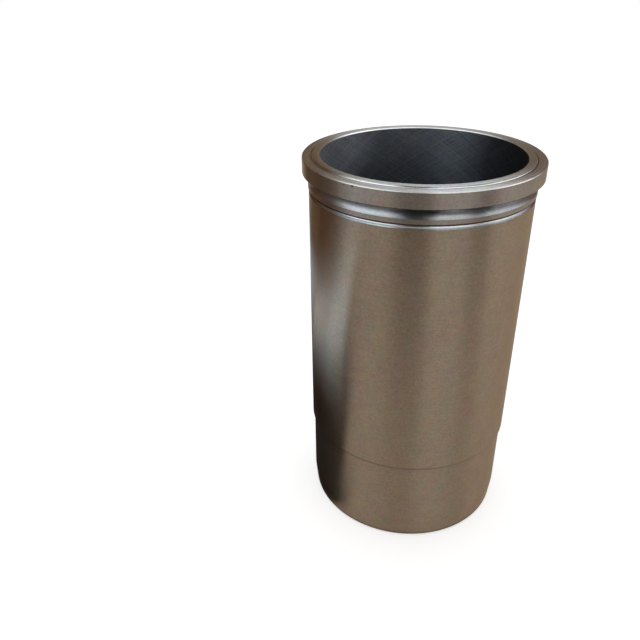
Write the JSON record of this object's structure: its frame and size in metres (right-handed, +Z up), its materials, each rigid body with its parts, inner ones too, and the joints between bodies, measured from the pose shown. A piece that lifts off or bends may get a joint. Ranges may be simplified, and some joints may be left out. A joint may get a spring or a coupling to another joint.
{
  "type": "cylinder liner",
  "caption": "Wet engine cylinder liner: flanged, honed iron sleeve with a raised fire ring on top, a relief and slot below the flange, and a stepped, tapered lower pilot.",
  "frame": {"origin": "centre of the lower end face", "axes": "+Z up the bore axis, from the lower end to the flange and fire ring; X and Y are free, because the liner is round"},
  "size_m": [0.1506, 0.1506, 0.2608],
  "materials": {
    "ground_iron": "satin ground outside, honed bore"
  },
  "bodies": {
    "root": {"cylinder_liner": "ground_iron"}
  },
  "joints": []
}
